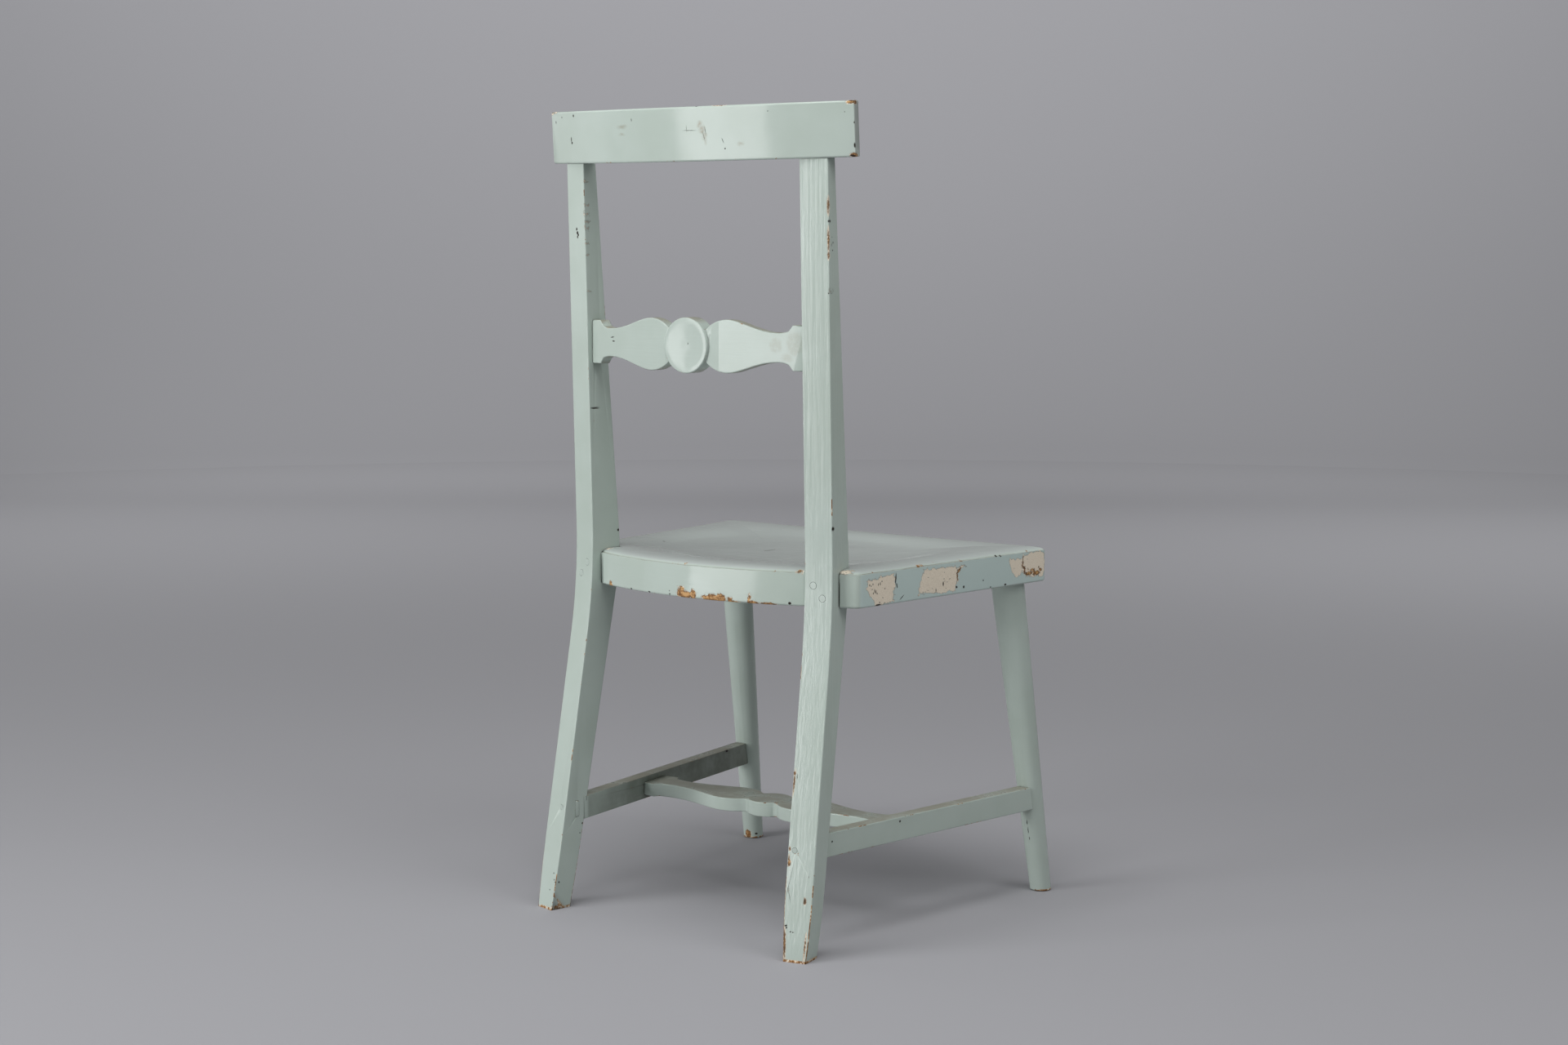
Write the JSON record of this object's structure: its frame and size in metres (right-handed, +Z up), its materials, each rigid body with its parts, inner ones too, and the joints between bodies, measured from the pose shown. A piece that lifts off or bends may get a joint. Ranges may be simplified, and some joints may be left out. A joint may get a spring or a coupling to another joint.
{
  "type": "painted wooden side chair",
  "caption": "Armless wooden chair with a bowed top rail, a bat-and-disc mid rail, a dished plank seat, raked rear posts and an H stretcher, under worn pale green paint.",
  "frame": {"origin": "on the floor, in the middle of the chair's bounding box", "axes": "+Z up; -Y the way the sitter faces; +X to the sitter's left"},
  "size_m": [0.478, 0.4476, 0.92],
  "materials": {
    "rail_paint": "semi-gloss oil paint, chipped at edges and corners",
    "post_paint": "semi-gloss oil paint with brush marks, worn to wood at the feet and edges",
    "seat_paint": "semi-gloss oil paint, peeled to a cream undercoat and bare wood on the edges",
    "leg_paint": "semi-gloss oil paint, chipped at the feet",
    "stretcher_paint": "dusty semi-gloss oil paint with dark worn lower edges",
    "peg_paint": "semi-gloss oil paint, cracked round the rim"
  },
  "bodies": {
    "root": {"top_rail": "rail_paint", "mid_rail": "rail_paint", "cross_stretcher": "stretcher_paint", "seat": "seat_paint", "rear_post_left": "post_paint", "rear_post_right": "post_paint", "front_leg_left": "leg_paint", "front_leg_right": "leg_paint", "side_stretcher_left": "stretcher_paint", "side_stretcher_right": "stretcher_paint", "seat_peg_upper_left": "peg_paint", "seat_peg_upper_right": "peg_paint", "seat_peg_lower_left": "peg_paint", "seat_peg_lower_right": "peg_paint", "stretcher_pin_left": "peg_paint", "stretcher_pin_right": "peg_paint"}
  },
  "joints": []
}
